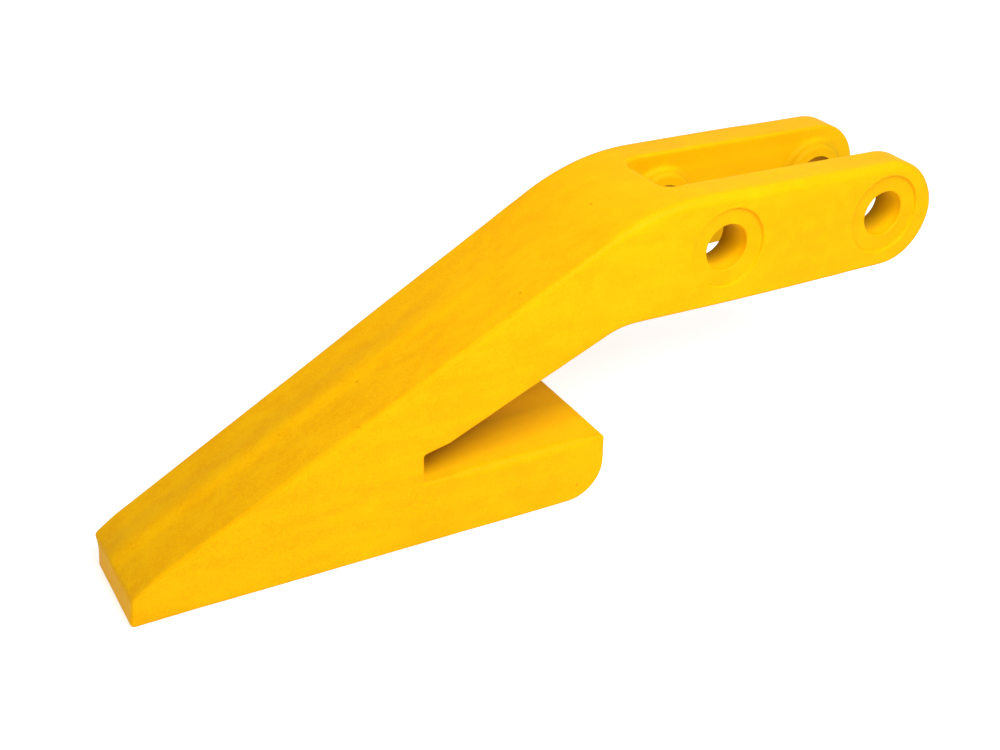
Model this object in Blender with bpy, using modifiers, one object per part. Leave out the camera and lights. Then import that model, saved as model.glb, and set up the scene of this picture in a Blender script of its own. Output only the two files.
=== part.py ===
"""Side bucket tooth: a bolt-on digging tooth for the cutting edge of a loader or excavator bucket.

The tooth is one steel casting. A wedge-shaped nose rises from a blunt cutting tip and bends into a
nearly level strap. The strap is split by a slot into two ears, which straddle the bucket's lip
plate and take two bolts. Pads round the holes on one ear's inner wall take up the plate's play.
Under the nose a heel runs back below the lip plate, so the plate's front edge seats in the notch
between heel and nose. A low ridge stiffens the upper face of the nose.

Frame: metres, +X from the tip to the ears, +Z up, origin on the ground under the middle of the
tooth's length and width. In the side outline, x is measured from the tip.
"""

import math

import bmesh
import bpy

# Nose, from the cutting tip to the bend.
TIP_HEIGHT = 0.0121
TIP_LEAN = 0.0015
TIP_CHAMFER = 0.0093
TIP_CHAMFER_SLOPE = math.radians(35.4)
TIP_SHOULDER_RADIUS = 0.020
NOSE_SLOPE = math.radians(27.4)
BEND_RADIUS = 0.100

# Strap with its bolt holes. Height, depth and drop are those at the front hole. Both faces and the
# line of the holes fall slightly towards the rear.
STRAP_TOP = 0.1313
STRAP_DEPTH = 0.0507
STRAP_TOP_FALL = math.radians(2.1)
STRAP_UNDERSIDE_FALL = math.radians(0.7)
UNDERSIDE_BEND_RADIUS = 0.035
UNDERSIDE_SLOPE = math.radians(24.2)
FRONT_HOLE_X = 0.2652
HOLE_SPACING = 0.0858
HOLE_DROP = 0.0246
HOLE_LINE_FALL = math.radians(1.45)
HOLE_TO_END = 0.0268
BOLT_HOLE_RADIUS = 0.0104
HOLE_CHAMFER = 0.0006
SPOT_FACE_RADIUS = 0.0180
SPOT_FACE_DEPTH = 0.0020

# Heel below the notch that takes the front edge of the lip plate.
NOTCH_X = 0.1245
NOTCH_ROOF = 0.0432
NOTCH_LAND = 0.0113
NOTCH_LAND_SLOPE = math.radians(13.0)
NOTCH_CORNER_RADIUS = 0.0015
HEEL_LENGTH = 0.2093
HEEL_HEIGHT_AT_NOTCH = 0.0300
HEEL_HEIGHT_AT_END = 0.0302
HEEL_TOP_RADIUS = 0.0022
HEEL_FOOT_RADIUS = 0.0175

# Widths in plan. The flanks widen from the tip and run parallel along the ears.
TIP_WIDTH = 0.0516
REAR_WIDTH = 0.0707
TAPER_LENGTH = 0.274

# Slot between the ears, flared at its mouth.
SLOT_WIDTH = 0.0345
SLOT_FRONT_X = 0.2440
SLOT_CORNER_RADIUS = 0.0070
MOUTH_FLARE = 0.0012
MOUTH_FLARE_LENGTH = 0.0245

# Flat pads round the bolt holes on the far ear's inner wall.
PAD_RADIUS = 0.0162
PAD_HEIGHT = 0.0048
PAD_EDGE_CHAMFER = 0.0008
PAD_ROOT = 0.0060

# Ridge along the upper face of the nose.
RIDGE_HEIGHT = 0.0014
RIDGE_WIDTH = 0.0220
RIDGE_END_TO_BEND = 0.0153
RIDGE_FADE = 0.0450

# Rounded edges of the casting.
UPPER_EDGE_RADIUS = 0.0026
LOWER_EDGE_RADIUS = 0.0014
TIP_EDGE_RADIUS = 0.0008
SLOT_EDGE_RADIUS = 0.0014

# Facets of the round stretches.
ARC_STEP = math.radians(10.0)
SHORTEST_FACET = 0.0005
SHORTEST_BLANK_EDGE = 0.0002
SHORTEST_SLOT_EDGE = 0.0001
HOLE_SEGMENTS = 48
PAD_SEGMENTS = 38
CAST_EDGE_SEGMENTS = 4
TRIMMED_EDGE_SEGMENTS = 3
RIDGE_STEPS = 28
RIDGE_STEPS_ACROSS = 14

# Cutters run this far past the metal that they cut, and the tip is cast this much too long.
CUT_MARGIN = 0.010
TRIM_OVERLAP = 0.003

PAINT_COLOUR = (0.93, 0.56, 0.012, 1.0)
PAINT_ROUGHNESS = 0.45

REAR_HOLE_X = FRONT_HOLE_X + HOLE_SPACING
LENGTH = REAR_HOLE_X + HOLE_TO_END


def clear_scene():
    """Remove every object, so that the script can be run again."""
    for obj in list(bpy.data.objects):
        bpy.data.objects.remove(obj, do_unlink=True)


def new_collection(name):
    """Return a new collection in the scene."""
    collection = bpy.data.collections.new(name)
    bpy.context.scene.collection.children.link(collection)
    return collection


def painted_steel():
    """Return the yellow paint of the casting."""
    material = bpy.data.materials.new("yellow_painted_cast_steel")
    material.use_nodes = True
    shader = material.node_tree.nodes["Principled BSDF"]
    shader.inputs["Base Color"].default_value = PAINT_COLOUR
    shader.inputs["Roughness"].default_value = PAINT_ROUGHNESS
    shader.inputs["Metallic"].default_value = 0.0
    return material


def rounded(corners):
    """Return the points of a closed outline whose corners (a, b, radius) are rounded by arcs."""
    points = []
    for index, (a, b, radius) in enumerate(corners):
        before = corners[index - 1]
        after = corners[(index + 1) % len(corners)]
        angle_in = math.atan2(b - before[1], a - before[0])
        angle_out = math.atan2(after[1] - b, after[0] - a)
        turn = math.remainder(angle_out - angle_in, 2 * math.pi)
        if radius == 0 or turn == 0:
            points.append((a, b))
            continue
        tangent = radius * abs(math.tan(turn / 2))
        start = (a - tangent * math.cos(angle_in), b - tangent * math.sin(angle_in))
        side = math.copysign(1.0, turn)
        centre = (start[0] - side * radius * math.sin(angle_in), start[1] + side * radius * math.cos(angle_in))
        finest = max(2, int(abs(turn) * radius / SHORTEST_FACET))
        steps = min(finest, max(2, math.ceil(abs(turn) / ARC_STEP)))
        for step in range(steps + 1):
            angle = angle_in + turn * step / steps
            points.append((centre[0] + side * radius * math.sin(angle), centre[1] - side * radius * math.cos(angle)))
    return points


def flat_plate(name, points, thickness, collection):
    """Return a mesh object: the flat outline in its XY plane, thick along Z on both sides."""
    data = bpy.data.curves.new(name, "CURVE")
    data.dimensions = "2D"
    data.fill_mode = "BOTH"
    data.extrude = thickness / 2
    spline = data.splines.new("POLY")
    spline.points.add(len(points) - 1)
    for point, (a, b) in zip(spline.points, points):
        point.co = (a, b, 0, 1)
    spline.use_cyclic_u = True
    curve = bpy.data.objects.new(name + "_outline", data)
    collection.objects.link(curve)
    return evaluated_copy(curve, name, collection)


def evaluated_copy(source, name, collection, weld=1e-6):
    """Replace an object by a mesh of what its modifiers show, with points closer than weld merged."""
    bpy.context.view_layer.update()
    graph = bpy.context.evaluated_depsgraph_get()
    mesh = bpy.data.meshes.new_from_object(source.evaluated_get(graph))
    bm = bmesh.new()
    bm.from_mesh(mesh)
    bmesh.ops.remove_doubles(bm, verts=bm.verts, dist=weld)
    bmesh.ops.dissolve_limit(bm, angle_limit=math.radians(0.2), verts=bm.verts, edges=bm.edges)
    bmesh.ops.recalc_face_normals(bm, faces=bm.faces)
    bm.to_mesh(mesh)
    bm.free()
    obj = bpy.data.objects.new(name, mesh)
    obj.matrix_world = source.matrix_world.copy()
    collection.objects.link(obj)
    bpy.data.objects.remove(source, do_unlink=True)
    return obj


def as_cutter(obj):
    """Mark an object as a construction aid that is not part of the tooth."""
    obj.hide_render = True
    obj.display_type = "WIRE"
    return obj


def boolean(obj, operation, other):
    """Join or cut an object with another one."""
    modifier = obj.modifiers.new(other.name, "BOOLEAN")
    modifier.operation = operation
    modifier.solver = "EXACT"
    modifier.object = other


def shoulder():
    """Return the point (x, z) where the tip's chamfer meets the upper face of the nose."""
    return TIP_LEAN + TIP_CHAMFER, TIP_HEIGHT + TIP_CHAMFER * math.tan(TIP_CHAMFER_SLOPE)


def upper_face(x):
    """Return the height of the upper face at x from the tip, over the chamfer and the nose."""
    shoulder_x, shoulder_z = shoulder()
    slope = NOSE_SLOPE if x > shoulder_x else TIP_CHAMFER_SLOPE
    return shoulder_z + (x - shoulder_x) * math.tan(slope)


def strap_top(x):
    """Return the height of the strap's upper face at x from the tip."""
    return STRAP_TOP - (x - FRONT_HOLE_X) * math.tan(STRAP_TOP_FALL)


def strap_underside(x):
    """Return the height of the strap's lower face at x from the tip."""
    return STRAP_TOP - STRAP_DEPTH - (x - FRONT_HOLE_X) * math.tan(STRAP_UNDERSIDE_FALL)


def meeting_x(x, z, slope, strap_z, fall):
    """Return where a rising line through (x, z) meets a face of the strap."""
    return x + (strap_z(x) - z) / (math.tan(slope) + math.tan(fall))


def nose_corner_x():
    """Return where the nose's upper face would meet the strap's without the bend."""
    shoulder_x, shoulder_z = shoulder()
    return meeting_x(shoulder_x, shoulder_z, NOSE_SLOPE, strap_top, STRAP_TOP_FALL)


def ridge_end_x():
    """Return where the ridge has faded out, a little before the bend starts."""
    tangent = BEND_RADIUS * math.tan((NOSE_SLOPE + STRAP_TOP_FALL) / 2)
    return nose_corner_x() - tangent * math.cos(NOSE_SLOPE) - RIDGE_END_TO_BEND


def ear_end_radius():
    """Return the radius of the full round at the rear of the ears."""
    height = strap_top(LENGTH) - strap_underside(LENGTH)
    upper = math.tan((math.pi / 2 - STRAP_TOP_FALL) / 2)
    lower = math.tan((math.pi / 2 + STRAP_UNDERSIDE_FALL) / 2)
    return height / (upper + lower)


def side_outline():
    """Return the tooth's outline seen from its flank, as points (x, z).

    It runs on past the tip as a short level stub, which the trim of the front face takes off.
    """
    shoulder_x, shoulder_z = shoulder()
    bend_x = nose_corner_x()
    stub_x = TIP_LEAN - TRIM_OVERLAP
    land_x = NOTCH_X + NOTCH_LAND
    land_z = NOTCH_ROOF + NOTCH_LAND * math.tan(NOTCH_LAND_SLOPE)
    underside_x = meeting_x(land_x, land_z, UNDERSIDE_SLOPE, strap_underside, STRAP_UNDERSIDE_FALL)
    corners = [
        (-CUT_MARGIN, 0, 0),
        (-CUT_MARGIN, upper_face(stub_x), 0),
        (stub_x, upper_face(stub_x), 0),
        (shoulder_x, shoulder_z, TIP_SHOULDER_RADIUS),
        (bend_x, strap_top(bend_x), BEND_RADIUS),
        (LENGTH, strap_top(LENGTH), ear_end_radius()),
        (LENGTH, strap_underside(LENGTH), ear_end_radius()),
        (underside_x, strap_underside(underside_x), UNDERSIDE_BEND_RADIUS),
        (land_x, land_z, 0),
        (NOTCH_X, NOTCH_ROOF, NOTCH_CORNER_RADIUS),
        (NOTCH_X, HEEL_HEIGHT_AT_NOTCH, NOTCH_CORNER_RADIUS),
        (HEEL_LENGTH, HEEL_HEIGHT_AT_END, HEEL_TOP_RADIUS),
        (HEEL_LENGTH, 0, HEEL_FOOT_RADIUS),
    ]
    return rounded(corners)


def plan_outline():
    """Return the tooth's outline seen from above, as points (x, y)."""
    front = -2 * CUT_MARGIN
    rear = LENGTH + CUT_MARGIN
    half_rear = REAR_WIDTH / 2
    widening = (REAR_WIDTH - TIP_WIDTH) / 2 / TAPER_LENGTH
    half_front = TIP_WIDTH / 2 + front * widening
    return [
        (front, half_front),
        (front, -half_front),
        (TAPER_LENGTH, -half_rear),
        (rear, -half_rear),
        (rear, half_rear),
        (TAPER_LENGTH, half_rear),
    ]


def cast_edge_radius(x, z, rise):
    """Return the rounding of a flank's edge at (x, z), beside a face whose normal rises by rise.

    The upper edges are the softest. Those that face down, and all of the heel's, are crisp.
    """
    if x > NOTCH_X and z < NOTCH_ROOF:
        return LOWER_EDGE_RADIUS
    return LOWER_EDGE_RADIUS + (UPPER_EDGE_RADIUS - LOWER_EDGE_RADIUS) * max(0.0, rise)


def round_cast_edges(body):
    """Round the edges along both flanks with a Bevel whose width follows each edge's weight."""
    bm = bmesh.new()
    bm.from_mesh(body.data)
    weight = bm.edges.layers.float.new("bevel_weight_edge")
    widest = max(UPPER_EDGE_RADIUS, LOWER_EDGE_RADIUS)
    to_world = body.matrix_world.to_3x3()
    for edge in bm.edges:
        middle = body.matrix_world @ ((edge.verts[0].co + edge.verts[1].co) / 2)
        normals = [to_world @ face.normal for face in edge.link_faces]
        rim_normal = min(normals, key=lambda normal: abs(normal.y))
        sharp = edge.calc_face_angle() > math.radians(45)
        on_stub_end = middle.x < -0.9 * CUT_MARGIN
        radius = cast_edge_radius(middle.x, middle.z, rim_normal.z)
        edge[weight] = radius / widest if sharp and not on_stub_end else 0.0
    bm.to_mesh(body.data)
    bm.free()
    bevel = body.modifiers.new("cast_edges", "BEVEL")
    bevel.limit_method = "WEIGHT"
    bevel.width = widest
    bevel.segments = CAST_EDGE_SEGMENTS
    bevel.use_clamp_overlap = False


def body_blank(parts, aids):
    """Return the solid body: the side outline, narrowed to the plan outline."""
    width = REAR_WIDTH + 2 * CUT_MARGIN
    blank = flat_plate("body_blank", side_outline(), width, parts)
    blank.rotation_euler = (math.pi / 2, 0, 0)
    plan = flat_plate("plan_taper", plan_outline(), 2 * (STRAP_TOP + CUT_MARGIN), aids)
    boolean(blank, "INTERSECT", as_cutter(plan))
    return evaluated_copy(blank, "side_tooth_casting", parts, SHORTEST_BLANK_EDGE)


def ridge(aids):
    """Return the low ridge on the nose: a loft of raised-cosine sections that fades into the face."""
    lap = 0.15 * RIDGE_HEIGHT
    root_depth = 4 * RIDGE_HEIGHT
    half = RIDGE_WIDTH / 2
    shoulder_x = shoulder()[0]
    end_x = ridge_end_x()
    run = end_x - shoulder_x
    stations = [-TRIM_OVERLAP] + [shoulder_x + run * index / RIDGE_STEPS for index in range(RIDGE_STEPS + 1)]
    bm = bmesh.new()
    rings = []
    for x in stations:
        fade = min(1.0, (end_x - x) / RIDGE_FADE)
        share = (1 - math.cos(math.pi * fade)) / 2
        base = upper_face(x) - lap
        section = [(x, -half, base - root_depth)]
        for step in range(RIDGE_STEPS_ACROSS + 1):
            y = RIDGE_WIDTH * step / RIDGE_STEPS_ACROSS - half
            swell = (1 + math.cos(math.pi * y / half)) / 2
            section.append((x, y, base + share * swell * (RIDGE_HEIGHT + lap) / math.cos(NOSE_SLOPE)))
        section.append((x, half, base - root_depth))
        rings.append([bm.verts.new(point) for point in section])
    count = len(rings[0])
    for ring, following in zip(rings, rings[1:]):
        for index in range(count):
            after = (index + 1) % count
            bm.faces.new((ring[index], ring[after], following[after], following[index]))
    bm.faces.new(rings[0])
    bm.faces.new(rings[-1])
    bmesh.ops.recalc_face_normals(bm, faces=bm.faces)
    mesh = bpy.data.meshes.new("nose_ridge")
    bm.to_mesh(mesh)
    bm.free()
    obj = bpy.data.objects.new("nose_ridge", mesh)
    aids.objects.link(obj)
    return as_cutter(obj)


def front_trim(aids):
    """Return the block that trims the tip to its leaning front face."""
    lean = math.atan2(TIP_LEAN, TIP_HEIGHT)
    size = 2 * REAR_WIDTH
    bpy.ops.mesh.primitive_cube_add(size=size)
    block = bpy.context.object
    block.name = "front_trim"
    for collection in list(block.users_collection):
        collection.objects.unlink(block)
    aids.objects.link(block)
    block.rotation_euler = (0, lean, 0)
    block.location = (-size / 2 * math.cos(lean), 0, size / 2 * math.sin(lean))
    return as_cutter(block)


def slot_cutter(aids):
    """Return the cutter of the slot between the ears."""
    half = SLOT_WIDTH / 2
    flare_x = LENGTH - MOUTH_FLARE_LENGTH
    half_mouth = half + MOUTH_FLARE * (1 + CUT_MARGIN / MOUTH_FLARE_LENGTH)
    rear = LENGTH + CUT_MARGIN
    corners = [
        (SLOT_FRONT_X, half, SLOT_CORNER_RADIUS),
        (SLOT_FRONT_X, -half, SLOT_CORNER_RADIUS),
        (flare_x, -half, 0),
        (rear, -half_mouth, 0),
        (rear, half_mouth, 0),
        (flare_x, half, 0),
    ]
    top = STRAP_TOP + 2 * CUT_MARGIN
    bottom = (HEEL_HEIGHT_AT_NOTCH + STRAP_TOP - STRAP_DEPTH) / 2
    cutter = flat_plate("lip_slot", rounded(corners), top - bottom, aids)
    cutter.location.z = (top + bottom) / 2
    return as_cutter(cutter)


def bolt_z(x):
    """Return the height of the bolt hole at x."""
    return STRAP_TOP - HOLE_DROP - (x - FRONT_HOLE_X) * math.tan(HOLE_LINE_FALL)


def turned(name, profile, x, segments, aids):
    """Turn a profile of (radius, height) points about the axis of the bolt hole at x.

    Heights run from the middle plane towards the near flank.
    """
    mesh = bpy.data.meshes.new(name)
    edges = [(index, index + 1) for index in range(len(profile) - 1)]
    mesh.from_pydata([(radius, 0, height) for radius, height in profile], edges, [])
    solid = bpy.data.objects.new(name, mesh)
    aids.objects.link(solid)
    screw = solid.modifiers.new("turned", "SCREW")
    screw.steps = segments
    screw.render_steps = segments
    screw.use_merge_vertices = True
    screw.merge_threshold = 1e-6
    solid.rotation_euler = (math.pi / 2, 0, 0)
    solid.location = (x, 0, bolt_z(x))
    return as_cutter(solid)


def pad(name, x, aids):
    """Return the pad round a bolt hole on the far ear's inner wall, rooted in the wall."""
    face = -(SLOT_WIDTH / 2 - PAD_HEIGHT)
    root = -(SLOT_WIDTH / 2 + PAD_ROOT)
    profile = [
        (0, face),
        (PAD_RADIUS - PAD_EDGE_CHAMFER, face),
        (PAD_RADIUS, face - PAD_EDGE_CHAMFER),
        (PAD_RADIUS, root),
        (0, root),
    ]
    return turned(name, profile, x, PAD_SEGMENTS, aids)


def bolt_hole_cutter(name, x, aids):
    """Return the cutter of a bolt hole with a spot face on each ear."""
    reach = REAR_WIDTH / 2 + CUT_MARGIN
    seat = REAR_WIDTH / 2 - SPOT_FACE_DEPTH
    profile = [
        (0, reach),
        (SPOT_FACE_RADIUS, reach),
        (SPOT_FACE_RADIUS, seat),
        (BOLT_HOLE_RADIUS + HOLE_CHAMFER, seat),
        (BOLT_HOLE_RADIUS, seat - HOLE_CHAMFER),
    ]
    profile += [(radius, -height) for radius, height in reversed(profile)]
    return turned(name, profile, x, HOLE_SEGMENTS, aids)


def round_sharp_edges(body, name, radius):
    """Round the edges that are still sharp after a cut."""
    bevel = body.modifiers.new(name, "BEVEL")
    bevel.limit_method = "ANGLE"
    bevel.angle_limit = math.radians(50)
    bevel.width = radius
    bevel.segments = TRIMMED_EDGE_SEGMENTS
    bevel.use_clamp_overlap = False


def build_tooth():
    """Build the casting and set it in its own frame."""
    clear_scene()
    parts = new_collection("side_bucket_tooth")
    aids = new_collection("cutters")
    body = body_blank(parts, aids)
    round_cast_edges(body)
    boolean(body, "UNION", ridge(aids))
    boolean(body, "DIFFERENCE", front_trim(aids))
    round_sharp_edges(body, "tip_edges", TIP_EDGE_RADIUS)
    boolean(body, "DIFFERENCE", slot_cutter(aids))
    weld = body.modifiers.new("slot_weld", "WELD")
    weld.merge_threshold = SHORTEST_SLOT_EDGE
    round_sharp_edges(body, "slot_edges", SLOT_EDGE_RADIUS)
    boolean(body, "UNION", pad("front_pad", FRONT_HOLE_X, aids))
    boolean(body, "UNION", pad("rear_pad", REAR_HOLE_X, aids))
    boolean(body, "DIFFERENCE", bolt_hole_cutter("front_bolt_hole", FRONT_HOLE_X, aids))
    boolean(body, "DIFFERENCE", bolt_hole_cutter("rear_bolt_hole", REAR_HOLE_X, aids))
    body.data.materials.clear()
    body.data.materials.append(painted_steel())
    frame = bpy.data.objects.new("tooth_frame", None)
    parts.objects.link(frame)
    for obj in list(parts.objects) + list(aids.objects):
        if obj is not frame:
            obj.parent = frame
    frame.location = (-LENGTH / 2, 0, 0)
    return body


build_tooth()
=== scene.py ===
"""Side bucket tooth: a painted steel casting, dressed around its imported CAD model.

The casting is one closed surface, made again here at a finer grain than the CAD solid: the side
outline is carried across the width with softly rounded edges, the flanks and the slot's walls are
filled in between, the ridge and the waves that a sand mould leaves are added to the surface, and
the machined bolt holes are cut last, so that they stay crisp. The finish is a satin yellow enamel.

Frame: metres, +X from the tip to the ears, +Z up, origin on the ground under the middle of the
tooth's length and width. In the side outline, x is measured from the tip.
"""

import itertools
import logging
import math
from dataclasses import dataclass, field
from enum import Enum
from functools import partial

import bmesh
import bpy
import numpy as np
from mathutils import Matrix, Vector


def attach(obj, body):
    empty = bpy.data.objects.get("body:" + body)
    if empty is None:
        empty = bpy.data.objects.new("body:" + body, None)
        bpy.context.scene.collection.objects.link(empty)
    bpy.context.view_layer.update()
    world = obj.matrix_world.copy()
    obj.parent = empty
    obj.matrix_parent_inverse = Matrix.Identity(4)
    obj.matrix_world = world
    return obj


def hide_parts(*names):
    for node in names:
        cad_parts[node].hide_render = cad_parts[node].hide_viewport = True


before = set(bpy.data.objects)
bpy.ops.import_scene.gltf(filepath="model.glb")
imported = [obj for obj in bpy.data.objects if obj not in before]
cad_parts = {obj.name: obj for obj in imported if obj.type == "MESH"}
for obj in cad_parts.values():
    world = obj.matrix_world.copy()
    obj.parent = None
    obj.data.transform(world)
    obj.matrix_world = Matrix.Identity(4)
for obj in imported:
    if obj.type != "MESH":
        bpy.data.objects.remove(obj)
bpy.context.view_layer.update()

log = logging.getLogger("side_tooth")

CASTING_NODE = "side_tooth_casting"
FLOOR_NAME = "studio_floor"
MM = 0.001
EDGE_SHADE_ATTRIBUTE = "edge_wear"
PAINTED_SHADE_ATTRIBUTE = "shelter"
# A value of the painted shade up to this tints a recess greener at its mouth, and one above it paints it
# brown deep inside.
MOUTH_SHADE_SHARE = 0.25


class Joining(Enum):
    """How a turned solid is joined to the casting, in the words of the Boolean modifier."""

    ADD = "UNION"
    CUT = "DIFFERENCE"


def smooth_step(value: np.ndarray, low: float, high: float) -> np.ndarray:
    """Ease from 0 at low to 1 at high: 3 t squared minus 2 t cubed, with t the clipped share."""
    share = np.clip((np.asarray(value, float) - low) / (high - low), 0.0, 1.0)
    return share * share * (3.0 - 2.0 * share)


def value_noise(points: np.ndarray, wavelength: float, seed: int) -> np.ndarray:
    """Read a smooth random field, the same each run.

    Each corner of a cubic lattice holds a hashed value in -1 to 1, and a point blends the eight
    around it by quintic weights.

    Args:
        points: places, shape (n, 3), in metres.
        wavelength: the lattice's spacing in metres.
        seed: picks one field among many.

    Returns:
        Values in about -1 to 1, shape (n,).
    """
    scaled = points / wavelength + 1000.0
    cell = np.floor(scaled).astype(np.int64)
    local = scaled - cell
    weight = local ** 3 * (local * (6.0 * local - 15.0) + 10.0)
    total = np.zeros(len(points))
    for corner in itertools.product((0, 1), repeat=3):
        lattice = cell + np.array(corner)
        mixed = lattice[:, 0] * 73856093 ^ lattice[:, 1] * 19349663 ^ lattice[:, 2] * 83492791
        mixed = (mixed ^ (seed * 2654435761)) & 0x7FFFFFFF
        mixed = ((mixed ^ (mixed >> 13)) * 1274126177) & 0x7FFFFFFF
        hashed = (mixed % 65536) / 32767.5 - 1.0
        share = np.where(np.array(corner) == 1, weight, 1.0 - weight).prod(axis=1)
        total += hashed * share
    return total


def grid_quads(rows: int, columns: int) -> np.ndarray:
    """Return the four-sided faces that join a grid of points, which are numbered row by row."""
    corner = np.arange(rows * columns).reshape(rows, columns)
    return np.stack([corner[:-1, :-1], corner[1:, :-1], corner[1:, 1:], corner[:-1, 1:]], -1).reshape(-1, 4)


def between(start: np.ndarray, end: np.ndarray, steps: int) -> np.ndarray:
    """Return steps + 1 points on the straight line from start to end."""
    share = np.linspace(0.0, 1.0, steps + 1)[:, None]
    return start * (1 - share) + end * share


def chain(*curves: np.ndarray) -> np.ndarray:
    """Return one curve from several, each of which starts where the one before it ends."""
    return np.concatenate([curves[0], *(curve[1:] for curve in curves[1:])])


def weld(mesh: bpy.types.Mesh, distance: float) -> int:
    """Merge the points of a mesh that lie together, and turn its faces outwards.

    Args:
        mesh: the mesh, which is changed in place.
        distance: how close together the merged points lie, in metres.

    Returns:
        How many edges aren't shared by two faces: 0 for a closed mesh.
    """
    bm = bmesh.new()
    bm.from_mesh(mesh)
    bmesh.ops.remove_doubles(bm, verts=bm.verts, dist=distance)
    bmesh.ops.recalc_face_normals(bm, faces=bm.faces)
    open_edges = sum(1 for edge in bm.edges if len(edge.link_faces) != 2)
    bm.to_mesh(mesh)
    bm.free()
    return open_edges


def new_object(name: str, data: bpy.types.ID) -> bpy.types.Object:
    """Return a new object that shows a mesh, a lamp or a camera, linked to the scene."""
    made = bpy.data.objects.new(name, data)
    bpy.context.scene.collection.objects.link(made)
    return made


def round_profile(radius: float, height: float, across: float, along: float, steps: int = 6) -> np.ndarray:
    """Return points (radius, height) that round a corner of a profile: a quarter of an ellipse.

    At the angle a, from 0 to 90 degrees, the point is (radius + across (1 - sin a), height + along
    (1 - cos a)). So it starts wider than radius by across, and ends higher than height by along.
    """
    quarter = np.linspace(0.0, math.pi / 2, steps)
    return np.stack([radius + across * (1 - np.sin(quarter)), height + along * (1 - np.cos(quarter))], -1)


def coons(bottom: np.ndarray, top: np.ndarray, left: np.ndarray, right: np.ndarray) -> np.ndarray:
    """Fill four edge curves with a Coons patch.

    The surface is the blend of bottom and top, plus the blend of left and right, less the blend
    of the four corners.

    Args:
        bottom: points from the left corner to the right one, shape (n, 2).
        top: points from the left corner to the right one, shape (n, 2).
        left: points from the bottom corner to the top one, shape (m, 2).
        right: points from the bottom corner to the top one, shape (m, 2).

    Returns:
        Points of shape (n, m, 2).
    """
    u = np.linspace(0.0, 1.0, len(bottom))[:, None, None]
    v = np.linspace(0.0, 1.0, len(left))[None, :, None]
    across = (1 - v) * bottom[:, None] + v * top[:, None]
    along = (1 - u) * left[None] + u * right[None]
    corners = (1 - u) * (1 - v) * bottom[0] + u * (1 - v) * bottom[-1]
    corners = corners + (1 - u) * v * top[0] + u * v * top[-1]
    return across + along - corners


@dataclass(frozen=True)
class Corner:
    """One corner of the side outline before it is rounded: its place and radius in metres."""

    x: float
    z: float
    radius: float


class SideOutline:
    """A closed path in the XZ plane with rounded corners, which can be sampled anywhere.

    It runs clockwise seen from the near flank: up the front face, back over the nose and the
    strap, round the ears, and forward again along the underside, the notch, the heel and the
    sole. It starts and ends in the middle of the first corner's arc.
    """

    ARC_NODES = 48

    def __init__(self, corners: list[Corner], spacing: float, turn_step: float) -> None:
        """Lay out the path.

        Args:
            corners: the corners in clockwise order.
            spacing: the sampling step along straight stretches, in metres.
            turn_step: the turn of the path, in radians, that costs one more step.
        """
        points, angles, middles = [], [], []
        for index, corner in enumerate(corners):
            before, after = corners[index - 1], corners[(index + 1) % len(corners)]
            angle_in = math.atan2(corner.z - before.z, corner.x - before.x)
            angle_out = math.atan2(after.z - corner.z, after.x - corner.x)
            turn = math.remainder(angle_out - angle_in, 2 * math.pi)
            tangent = corner.radius * abs(math.tan(turn / 2))
            side = math.copysign(1.0, turn)
            ahead = np.array([math.cos(angle_in), math.sin(angle_in)])
            start = np.array([corner.x, corner.z]) - tangent * ahead
            centre = start + side * corner.radius * np.array([-ahead[1], ahead[0]])
            heading = angle_in + turn * np.linspace(0.0, 1.0, self.ARC_NODES + 1)
            arc = centre + side * corner.radius * np.stack([np.sin(heading), -np.cos(heading)], -1)
            middles.append(len(points) * (self.ARC_NODES + 1) + self.ARC_NODES // 2)
            points.append(arc)
            angles.append(heading)
        first = middles[0]
        path = np.concatenate(points)
        path = np.concatenate([path[first:], path[:first + 1]])
        turned = np.concatenate(angles)
        turned = np.unwrap(np.concatenate([turned[first:], turned[:first + 1]]))
        step = np.linalg.norm(np.diff(path, axis=0), axis=1)
        self.length = np.concatenate([[0.0], np.cumsum(step)])
        self.x = path[:, 0]
        self.z = path[:, 1]
        self.heading = turned
        turning = np.concatenate([[0.0], np.cumsum(np.abs(np.diff(turned)))])
        self.density = self.length / spacing + turning / turn_step
        self.middle = [self.length[index - first] for index in middles]

    def find_x(self, x: float, low: float, high: float) -> float:
        """Find where the outline passes x.

        Args:
            x: distance from the tip.
            low: path length at which the search starts.
            high: path length at which it ends. Between the two, x only rises or only falls.

        Returns:
            The path length at x.
        """
        inside = (self.length > low) & (self.length < high)
        lengths = np.concatenate([[low], self.length[inside], [high]])
        places = np.interp(lengths, self.length, self.x)
        order = np.argsort(places)
        return float(np.interp(x, places[order], lengths[order]))

    def steps(self, low: float, high: float) -> int:
        """Return how many steps a stretch between two path lengths needs."""
        ends = np.interp([low, high], self.length, self.density)
        return max(2, math.ceil(ends[1] - ends[0]))

    def stretch(self, low: float, high: float, count: int) -> np.ndarray:
        """Return the count + 1 path lengths that divide a stretch, closer together where it bends."""
        ends = np.interp([low, high], self.length, self.density)
        return np.interp(np.linspace(ends[0], ends[1], count + 1), self.density, self.length)

    def at(self, lengths: np.ndarray) -> tuple[np.ndarray, np.ndarray]:
        """Read the outline at some places.

        Args:
            lengths: their path lengths.

        Returns:
            The points (x, z) and the unit normals into the metal.
        """
        points = np.stack([np.interp(lengths, self.length, places) for places in (self.x, self.z)], -1)
        heading = np.interp(lengths, self.length, self.heading)
        return points, np.stack([np.sin(heading), -np.cos(heading)], -1)


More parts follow.
